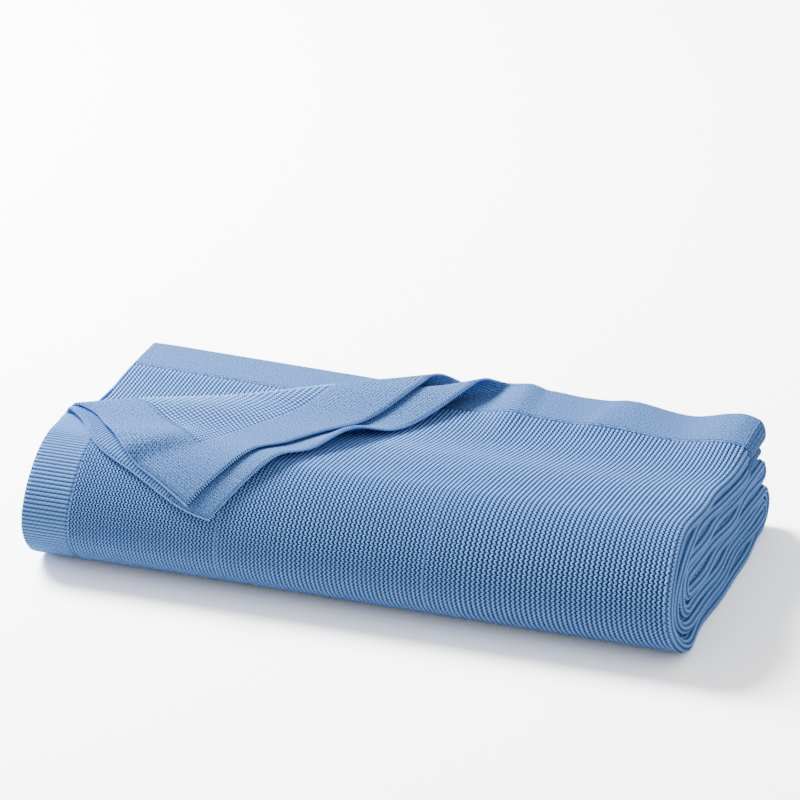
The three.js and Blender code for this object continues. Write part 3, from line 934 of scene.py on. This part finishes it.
@dataclass(frozen=True)
class CottonFinish:
    """Soft matt cotton yarn: lighter on the cords, with painted shade deep in the pits
    between them.

    The shade of a place goes from 0, which is the crest's colour, to 1, the colour of
    the painted shade.
    """

    name: str = "blue_cotton_knit"
    crest: tuple[float, ...] = (0.22, 0.46, 1.0, 1.0)
    # The colour of painted shade in the pits, rib grooves and seam; the smooth borders mix some in
    # for their tone
    painted_shade_color: tuple[float, ...] = (0.003, 0.016, 0.075, 1.0)
    roughness: float = 0.92
    specular: float = 0.1
    sheen: float = 0.02
    sheen_roughness: float = 0.5
    sheen_tint: tuple[float, ...] = (0.75, 0.86, 1.0, 1.0)
    # How the painted shade falls on the cords: thin crests, more at the stitches' dips and round
    # the purl dots
    crest_power: float = 1.4
    crest_gain: float = 1.22
    stitch_gap: float = 0.55
    dot_gain: float = 1.4
    rib_power: float = 0.65
    rib_stitch: float = 0.22
    rib_slant: float = 0.5
    rib_crest_shade: float = 0.24
    # Painted shade in the grooves between the ribs
    rib_groove_shade: float = 0.9
    fine_pitch: tuple[float, float] = (2.0, 2.6)
    stagger: float = 0.5
    grain: float = 0.46
    smooth_shade: float = 0.58
    fibre_scale: float = 0.75
    fibre_detail: float = 3.0
    body_speckle: float = 0.4
    border_speckle: float = 1.6
    strand_turns: float = 3.0
    strand_share: float = 0.25
    bump_strength: float = 0.6
    bump_height: float = 0.25

    def cord_shade(self, g: Graph, cord: bpy.types.NodeSocket,
                   row: bpy.types.NodeSocket) -> bpy.types.NodeSocket:
        """Painted shade of the cords on the upper face, dark between the cords and at the
        stitches' dips, and painted shade round the dotted purls on the lower one.
        """
        top = g.wave(cord)
        stitch = g.math("MULTIPLY_ADD", g.wave(row, 2.0), -self.stitch_gap, self.crest_gain)
        stitch = g.times(g.math("POWER", top, self.crest_power), stitch)
        dot = g.times(g.times(top, g.wave(g.plus(cord, row))), self.dot_gain)
        upper = g.math("SUBTRACT", 1.0, stitch, clamp=True)
        lower = g.math("SUBTRACT", 1.0, dot, clamp=True)
        return g.blend(upper, lower, g.carried("seed", "Fac"))

    def rib_shade(self, g: Graph, cord: bpy.types.NodeSocket,
                  row: bpy.types.NodeSocket) -> bpy.types.NodeSocket:
        """Painted shade of the side border's ribs, darkest in the grooves between them, with
        slanted stitches.
        """
        band = g.math("POWER", g.wave(row), self.rib_power)
        slant = g.wave(g.plus(cord, g.times(row, self.rib_slant)))
        band = g.times(band, g.math("MULTIPLY_ADD", slant, -self.rib_stitch, 1.0))
        lighter = self.rib_crest_shade - self.rib_groove_shade
        return g.math("MULTIPLY_ADD", band, lighter, self.rib_groove_shade)

    def border_shade(self, g: Graph, across: bpy.types.NodeSocket,
                     along: bpy.types.NodeSocket) -> bpy.types.NodeSocket:
        """Shade of the smooth borders, with the grain of their fine stitches."""
        line = g.wave(g.math("DIVIDE", along, self.fine_pitch[1]))
        place = g.plus(g.math("DIVIDE", across, self.fine_pitch[0]), g.times(line, self.stagger))
        grain = g.times(g.times(g.wave(place), line), self.grain)
        return g.plus(grain, self.smooth_shade)

    def material(self) -> bpy.types.Material:
        """The cotton's material."""
        material = bpy.data.materials.new(self.name)
        material.use_nodes = True
        material.node_tree.nodes.clear()
        g = Graph(material.node_tree)
        cord, row, _ = g.split(g.add("ShaderNodeUVMap", uv_map="knit").outputs[0])
        body, side, end = g.split(g.carried("zone"))
        flat = g.carried("flat")
        across, along, seam = g.split(flat)
        shade = g.plus(g.times(self.cord_shade(g, cord, row), body),
                       g.times(self.rib_shade(g, cord, row), side))
        shade = g.plus(shade, g.times(self.border_shade(g, across, along), end))
        # The seam's groove between the end border and the body is painted full shade
        shade = g.math("MAXIMUM", shade, seam)
        fibre = g.add("ShaderNodeTexNoise")
        g.set(fibre.inputs["Vector"], flat)
        fibre.inputs["Scale"].default_value = self.fibre_scale
        fibre.inputs["Detail"].default_value = self.fibre_detail
        speckle = g.math("MULTIPLY_ADD", end, self.border_speckle - self.body_speckle,
                         self.body_speckle)
        fuzz = g.times(g.minus(fibre.outputs["Fac"], 0.5), speckle)
        shade = g.math("ADD", shade, fuzz, clamp=True)
        mix = g.add("ShaderNodeMix", data_type="RGBA")
        g.set(mix.inputs["Factor"], shade)
        # Inputs 6 and 7 are the crest's colour and the painted shade's, and output 2 is the mixed
        # one
        mix.inputs[6].default_value = self.crest
        mix.inputs[7].default_value = self.painted_shade_color
        twist = g.plus(g.times(cord, self.strand_turns), g.times(row, self.strand_turns))
        strand = g.times(g.wave(twist), self.strand_share)
        bump = g.add("ShaderNodeBump")
        bump.inputs["Strength"].default_value = self.bump_strength
        bump.inputs["Distance"].default_value = self.bump_height * METRES
        g.set(bump.inputs["Height"], g.minus(g.plus(strand, fibre.outputs["Fac"]), shade))
        shader = g.add("ShaderNodeBsdfPrincipled")
        g.set(shader.inputs["Base Color"], mix.outputs[2])
        g.set(shader.inputs["Normal"], bump.outputs[0])
        shader.inputs["Roughness"].default_value = self.roughness
        shader.inputs["Specular IOR Level"].default_value = self.specular
        shader.inputs["Sheen Weight"].default_value = self.sheen
        shader.inputs["Sheen Roughness"].default_value = self.sheen_roughness
        shader.inputs["Sheen Tint"].default_value = self.sheen_tint
        g.set(g.add("ShaderNodeOutputMaterial").inputs["Surface"], shader.outputs[0])
        return material


@dataclass(frozen=True)
class EdgeLoops:
    """The small loops of yarn that finish the cloth's edges, set along them by nodes."""

    loop_radius: float = 0.7
    yarn_radius: float = 0.7
    sweep: float = 210.0
    arc_points: int = 5
    yarn_sides: int = 4
    step: float = 1.9
    inward: float = 0.5
    # The yarn's blue, partly its own colour and partly painted light: set lighter so that the loops
    # on the shaded edges look lit
    color: tuple[float, ...] = (0.25, 0.46, 0.94, 1.0)
    roughness: float = 0.9
    specular: float = 0.1

    def material(self) -> bpy.types.Material:
        """The yarn's plain material."""
        material = bpy.data.materials.new("blue_cotton_yarn")
        material.use_nodes = True
        shader = material.node_tree.nodes["Principled BSDF"]
        shader.inputs["Base Color"].default_value = self.color
        shader.inputs["Roughness"].default_value = self.roughness
        shader.inputs["Specular IOR Level"].default_value = self.specular
        return material

    def tree(self, material: bpy.types.Material) -> bpy.types.NodeTree:
        """The geometry nodes that set a loop on every point."""
        g = GeometryGraph("edge_loops", self.inputs())
        arc = g.add("GeometryNodeCurveArc", mode="RADIUS")
        arc.inputs["Resolution"].default_value = self.arc_points
        arc.inputs["Start Angle"].default_value = math.radians(-self.sweep / 2)
        arc.inputs["Sweep Angle"].default_value = math.radians(self.sweep)
        g.set(arc.inputs["Radius"], g.given["Loop radius"])
        ring = g.add("GeometryNodeCurvePrimitiveCircle")
        ring.inputs["Resolution"].default_value = self.yarn_sides
        g.set(ring.inputs["Radius"], g.given["Yarn radius"])
        tube = g.add("GeometryNodeCurveToMesh")
        g.set(tube.inputs["Curve"], arc.outputs["Curve"])
        g.set(tube.inputs["Profile Curve"], ring.outputs["Curve"])
        tube.inputs["Fill Caps"].default_value = True
        turn = g.add("FunctionNodeAxesToRotation", primary_axis="X", secondary_axis="Y")
        for socket, name in zip(turn.inputs, ("out", "up")):
            g.set(socket, g.named(name))
        laid = g.add("GeometryNodeInstanceOnPoints")
        g.set(laid.inputs["Points"], g.given["Geometry"])
        g.set(laid.inputs["Instance"], tube.outputs["Mesh"])
        g.set(laid.inputs["Rotation"], turn.outputs[0])
        g.close(laid.outputs["Instances"], material)
        return g.tree

    def inputs(self) -> dict[str, float]:
        """The tree's named sizes, in metres."""
        return {
            "Loop radius": self.loop_radius * METRES,
            "Yarn radius": self.yarn_radius * METRES,
        }

    def edge(self, run: Run, start: tuple[float, float],
             end: tuple[float, float]) -> dict[str, Array]:
        """Points along an edge of the cloth, with their ways out and up.

        Args:
            run: the layer.
            start: one end as (x, v).
            end: the other end.

        Returns:
            Arrays by name.
        """
        count = round(math.dist(start, end) / self.step)
        t, v = (np.linspace(a, b, count + 1) for a, b in zip(start, end))
        is_hem = start[1] == end[1]
        dt, dv = (0.0, self.inward) if is_hem else (self.inward, 0.0)
        out = run.place(t, v) - run.place(t + dt, v + dv)
        out = out / np.linalg.norm(out, axis=-1, keepdims=True)
        return {"point": run.place(t, v), "out": out, "up": run.normal(t, v)}

    def build(self, edges: list[dict[str, Array]], centre: tuple[float, float]) -> bpy.types.Object:
        """The piece with all the loops."""
        values = {name: np.concatenate([e[name] for e in edges]) for name in edges[0]}
        mesh = bpy.data.meshes.new("edge_points")
        mesh.from_pydata(((values["point"] - [*centre, 0]) * METRES).tolist(), [], [])
        for title in ("out", "up"):
            carry(mesh, title, values[title])
        material = self.material()
        piece = dressed(mesh, "blanket_edge_loops", self.tree(material), self.inputs(), material)
        piece.data.shade_smooth()
        return piece


@dataclass
class Blanket:
    """The whole blanket, as panels of its one cloth.

    The two panel_cuts_x and the cuts in v are where panels of a layer meet, and cuts lie at
    cut_flank of a cord. The columns are mesh columns, for a cord of the fine knit and for the
    whole width of a hidden panel.
    """

    bundle: FoldedBundle = field(default_factory=FoldedBundle)
    gauge: KnitGauge = field(default_factory=KnitGauge)
    upper_gauge: KnitGauge = KnitGauge(
        pitches=((-285, 3.0), (-60, 3.5), (281, 3.85)), row_pitches=((0, 4.2), (400, 4.2)),
        zigzag=((0, 0.0), (1, 0.0)))
    bared_gauge: KnitGauge = KnitGauge(
        pitches=((-285, 3.65), (-60, 3.95), (281, 3.85)), row_pitches=((0, 4.2), (400, 4.2)),
        rows_each=((0, 2), (400, 2)))
    rib_gauge: KnitGauge = KnitGauge(row_pitches=((0, 2.96), (400, 2.96)))
    fold_gauge: KnitGauge = KnitGauge(rows_each=((0, 4), (400, 4)))
    loops: EdgeLoops = field(default_factory=EdgeLoops)
    relief: KnitRelief = field(default_factory=KnitRelief)
    finish: CottonFinish = field(default_factory=CottonFinish)
    panel_cuts_x: tuple[float, float] = (-95.0, 92.0)
    cut_flank: float = 0.25
    left_cut_v: float = 216.0
    middle_cut_v: float = 122.0
    front_end_v: float = 402.0
    flap_end_x: float = 62.0
    back_folds: tuple[tuple[float, float], ...] = ((596.0, 708.0), (1120.0, 1190.0))
    fine_columns: int = 4
    back_columns: int = 2
    plain_columns: int = 12
    fold_columns: int = 5
    outer_fold_cords: int = 4
    plain_straight: int = 8
    plain_turn: int = 14
    turn_slope: float = 0.95

    @property
    def folds(self) -> dict[str, Run]:
        """The folds between the layers, by name."""
        b = self.bundle
        outer, inner = Layer.A.value, Layer.B.value
        return {
            "outer": Run(b, None, b.right_fold_x, 1, 0.0, outer, 1),
            "left": Run(b, None, b.left_fold_x, -1, -1.0, inner, -1),
            "inner": Run(b, None, b.right_fold_x, 1, 0.0, inner, -1),
        }

    def fine_panel(self, layer: Layer, x: tuple[float, float], v: tuple[float, float], fine: Fine,
                   gauge: Optional[KnitGauge] = None,
                   per_cord: Optional[int] = None) -> ClothPanel:
        """A finely knitted panel of a layer between two x and two v.

        Args:
            layer: the layer.
            x: where it starts and ends across.
            v: where it starts and ends along.
            fine: the skins that carry the knit.
            gauge: the knit's pattern, if it isn't the usual one.
            per_cord: mesh columns for each cord, if they aren't the usual number.

        Returns:
            The panel.
        """
        gauge = gauge or self.gauge
        t, n = gauge.columns(self.bundle, layer, per_cord or self.fine_columns)
        rows = gauge.rows(self.bundle.length)
        # The cuts are on the flanks of cords and on whole rows, so that neighbouring panels share
        # them and meet with the same slope
        flank = np.abs(np.mod(n, 1.0) - self.cut_flank) < SAME_PLACE
        grid_t = np.concatenate([t[:1], t[(n <= 0) | flank], t[-1:]])
        lo, hi = (grid_t[np.argmin(np.abs(grid_t - place))] for place in x)
        row = gauge.row_count(rows)
        whole = rows[(row < 0) | (np.abs(row - np.round(row)) < SAME_COUNT)]
        start, stop = (whole[np.argmin(np.abs(whole - place))] for place in v)
        keep = (t >= lo - SAME_PLACE) & (t <= hi + SAME_PLACE)
        kept = rows[(rows >= start - SAME_PLACE) & (rows <= stop + SAME_PLACE)]
        return ClothPanel(Run(self.bundle, layer), gauge, t[keep], n[keep], kept, fine,
                          has_side_border=layer in (Layer.A, Layer.B),
                          is_smooth_border=layer is Layer.B)

    def plain_rows(self, start: float, end: float) -> Array:
        """Rows of a hidden panel, close together only round the front and back folds."""
        arc, _, _, tys, _ = self.bundle.line
        turn = np.abs(tys) < self.turn_slope
        stops = arc[np.r_[True, turn[1:] != turn[:-1]]]
        stops = np.unique(np.r_[start, stops[(stops > start) & (stops < end)], end])
        rows = []
        for a, b in zip(stops[:-1], stops[1:]):
            middle = np.interp((a + b) / 2, arc, np.abs(tys))
            count = self.plain_straight if middle > self.turn_slope else self.plain_turn
            rows.append(np.linspace(a, b, count + 1)[:-1])
        return np.r_[np.concatenate(rows), end]

    def plain_panel(self, run: Run, start: float, end: float) -> ClothPanel:
        """A hidden panel of a layer or fold between two v."""
        b = self.bundle
        border = run.layer in (Layer.A, Layer.B)
        if run.layer is None:
            t = np.linspace(0, run.fold_length, self.fold_columns + 1)
        else:
            left = -b.half_length if border else b.left_fold_x
            t = np.linspace(left, b.right_fold_x, self.plain_columns + 1)
        return ClothPanel(run, self.gauge, t, (t - t[0]) / self.gauge.pitches[-1][1],
                          self.plain_rows(start, end), Fine.BOTH, has_side_border=border)

    def fold_panel(self, run: Run) -> ClothPanel:
        """The whole rounded end fold, finely knitted."""
        cords, each = self.outer_fold_cords, self.fine_columns
        n = np.arange(cords * each + 1) / each
        rows = self.fold_gauge.rows(self.bundle.length)
        return ClothPanel(run, self.fold_gauge, n * run.fold_length / cords, n, rows)

    def hidden_panels(self) -> list[ClothPanel]:
        """The plain panels inside the bundle, and the fold round its right end."""
        b, folds = self.bundle, self.folds
        length = b.length
        panels = [self.plain_panel(Run(b, Layer.D), 0, length)]
        panels += [self.plain_panel(Run(b, layer), self.left_cut_v, length)
                   for layer in (Layer.B, Layer.C)]
        starts = [self.front_end_v, *(stop for _, stop in self.back_folds)]
        stops = [*(start for start, _ in self.back_folds), length]
        panels += [self.plain_panel(Run(b, Layer.A), v0, v1) for v0, v1 in zip(starts, stops)]
        panels += [self.plain_panel(folds[name], 0, length) for name in ("left", "inner")]
        return [*panels, self.fold_panel(folds["outer"])]

    def panels(self) -> dict[str, list[ClothPanel]]:
        """Every panel, by the name of the piece that it belongs to."""
        knit = self.fine_panel
        left, right = -self.bundle.half_length, self.bundle.right_fold_x
        inner = left + self.gauge.side_border
        cut0, cut1 = self.panel_cuts_x
        left_top, left_front = (0, self.left_cut_v), (self.left_cut_v, self.front_end_v)
        hem, front = (0, self.middle_cut_v), (self.middle_cut_v, self.front_end_v)
        a, b, c = Layer.A, Layer.B, Layer.C
        rib, upper, bared = self.rib_gauge, self.upper_gauge, self.bared_gauge
        return {
            "blanket_lower_corner": [
                knit(a, (left, inner), left_top, Fine.BOTH, rib),
                knit(a, (inner, cut0), left_top, Fine.BOTH),
            ],
            "blanket_lower_hem": [knit(a, (cut0, cut1), hem, Fine.BOTH)],
            "blanket_front_left": [
                knit(a, (left, inner), left_front, Fine.UPPER, rib),
                knit(a, (inner, cut0), left_front, Fine.UPPER),
            ],
            "blanket_front_middle": [knit(a, (cut0, cut1), front, Fine.UPPER)],
            "blanket_front_right": [knit(a, (cut1, right), (0, self.front_end_v), Fine.UPPER)],
            "blanket_upper_corner": [
                knit(b, (left, cut0), left_top, Fine.LOWER, upper),
                knit(b, (cut0, self.flap_end_x), hem, Fine.LOWER, upper),
            ],
            "blanket_bared_layer": [
                knit(c, (left, cut0), left_top, Fine.UPPER, bared),
                knit(c, (cut0, self.flap_end_x), hem, Fine.UPPER, bared),
            ],
            "blanket_back_folds": [
                knit(a, (left, right), span, Fine.UPPER, per_cord=self.back_columns)
                for span in self.back_folds
            ],
            "blanket_inner_layers": self.hidden_panels(),
        }

    def edges(self) -> list[dict[str, Array]]:
        """The edges of the cloth that show, with a loop at each step."""
        left, right = -self.bundle.half_length, self.bundle.right_fold_x
        end, cut = self.flap_end_x, self.left_cut_v
        rows = (
            (Layer.A, (left, 0.0), (right, 0.0)),
            (Layer.A, (left, 0.0), (left, cut)),
            (Layer.B, (left, 0.0), (end, 0.0)),
            (Layer.B, (left, 0.0), (left, cut)),
            (Layer.C, (self.bundle.left_fold_x, 0.0), (end, 0.0)),
        )
        return [self.loops.edge(Run(self.bundle, layer), start, stop)
                for layer, start, stop in rows]

    def merged(self, panels: list[ClothPanel]) -> tuple[dict[str, Array], list[Array]]:
        """Points in metres with their values, and faces, of several panels together."""
        built = [panel.build() for panel in panels]
        starts = np.cumsum([0, *(len(values["point"]) for values, _ in built)])
        faces = [part + start for start, (_, parts) in zip(starts, built) for part in parts]
        values = {name: np.concatenate([values[name] for values, _ in built])
                  for name in built[0][0]}
        values["point"] = (values["point"] - [*self.bundle.centre, 0]) * METRES
        return values, faces

    @staticmethod
    def flat_size(panels: list[ClothPanel]) -> tuple[float, float]:
        """Sides in metres of one panel, or of the square with the area of several."""
        sides = [(float(np.ptp(panel.columns)), float(np.ptp(panel.rows))) for panel in panels]
        if len(sides) == 1:
            return sides[0][0] * METRES, sides[0][1] * METRES
        wide = math.sqrt(sum(across * along for across, along in sides)) * METRES
        return wide, wide

    def build(self) -> list[bpy.types.Object]:
        """Makes and dresses every piece of the blanket.

        Returns:
            The pieces.
        """
        material = self.finish.material()
        tree = self.relief.tree(material)
        made = [self.loops.build(self.edges(), self.bundle.centre)]
        for name, panels in self.panels().items():
            mesh = mesh_of(name + "_raw", *self.merged(panels))
            piece = dressed(mesh, name, tree, self.relief.inputs(), material)
            flat = self.flat_size(panels)
            LOG.info("%s: flat %.3f x %.3f m", name, *flat)
            made.append(piece)
        return made


@dataclass(frozen=True)
class Studio:
    """A pale floor, soft lights and the camera."""

    turn: float = 19.343
    drop: float = 24.195
    distance: float = 4000.0
    lens: float = 207.858
    aim: tuple[float, float] = (5.878, 130.757)
    floor_half: float = 30.0
    floor_bounce: float = 0.62
    floor_shown: float = 2.24
    key_place: tuple[float, float, float] = (-1.9, 0.8, 2.0)
    key_size: float = 1.2
    key_power: float = 340.0
    sky: float = 0.82

    def camera(self, bundle: FoldedBundle) -> None:
        """Sets the camera at the picture's viewing angle."""
        turn, drop = math.radians(self.turn), math.radians(self.drop)
        ahead = Vector((-math.sin(turn) * math.cos(drop), math.cos(turn) * math.cos(drop),
                        -math.sin(drop)))
        right = Vector((math.cos(turn), math.sin(turn), 0))
        up = right.cross(ahead)
        place = -ahead * self.distance + right * self.aim[0] + up * self.aim[1]
        place = (place - Vector((*bundle.centre, 0))) * METRES
        data = bpy.data.cameras.new("camera")
        data.lens = self.lens
        camera = bpy.data.objects.new("camera", data)
        axes = Matrix((right, up, -ahead)).transposed().to_4x4()
        camera.matrix_world = Matrix.Translation(place) @ axes
        bpy.context.scene.collection.objects.link(camera)
        bpy.context.scene.camera = camera

    def floor(self) -> None:
        """Lays the plain pale floor."""
        h = self.floor_half
        mesh = bpy.data.meshes.new("floor")
        mesh.from_pydata([(-h, -h, 0), (h, -h, 0), (h, h, 0), (-h, h, 0)], [], [(0, 1, 2, 3)])
        floor = bpy.data.objects.new("floor", mesh)
        bpy.context.scene.collection.objects.link(floor)
        material = bpy.data.materials.new("pale_floor")
        material.use_nodes = True
        tree = material.node_tree
        tree.nodes.clear()
        g = Graph(tree)
        mix = g.add("ShaderNodeMixShader")
        g.set(mix.inputs[0], g.add("ShaderNodeLightPath").outputs["Is Camera Ray"])
        for socket, shade in zip(mix.inputs[1:], (self.floor_bounce, self.floor_shown)):
            paint = g.add("ShaderNodeBsdfDiffuse")
            paint.inputs["Color"].default_value = (shade, shade, shade, 1)
            g.set(socket, paint.outputs[0])
        g.set(g.add("ShaderNodeOutputMaterial").inputs["Surface"], mix.outputs[0])
        mesh.materials.append(material)

    def light(self, name: str, place: tuple[float, float, float], size: float,
              power: float) -> None:
        """A soft square light that faces the blanket."""
        data = bpy.data.lights.new(name, "AREA")
        data.size = size
        data.energy = power
        lamp = bpy.data.objects.new(name, data)
        lamp.location = place
        lamp.rotation_euler = (-Vector(place)).to_track_quat("-Z", "Y").to_euler()
        bpy.context.scene.collection.objects.link(lamp)

    def build(self, bundle: FoldedBundle) -> None:
        """Makes the studio."""
        self.camera(bundle)
        self.floor()
        self.light("key_light", self.key_place, self.key_size, self.key_power)
        world = bpy.data.worlds.new("studio")
        world.use_nodes = True
        background = world.node_tree.nodes["Background"]
        background.inputs["Color"].default_value = (1, 1, 1, 1)
        background.inputs["Strength"].default_value = self.sky
        bpy.context.scene.world = world


def main() -> None:
    """Builds the studio and the blanket."""
    logging.basicConfig(level=logging.INFO, format="%(name)s: %(message)s")
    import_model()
    blanket = Blanket()
    Studio().build(blanket.bundle)
    blanket.build()


if __name__ == "__main__":
    main()
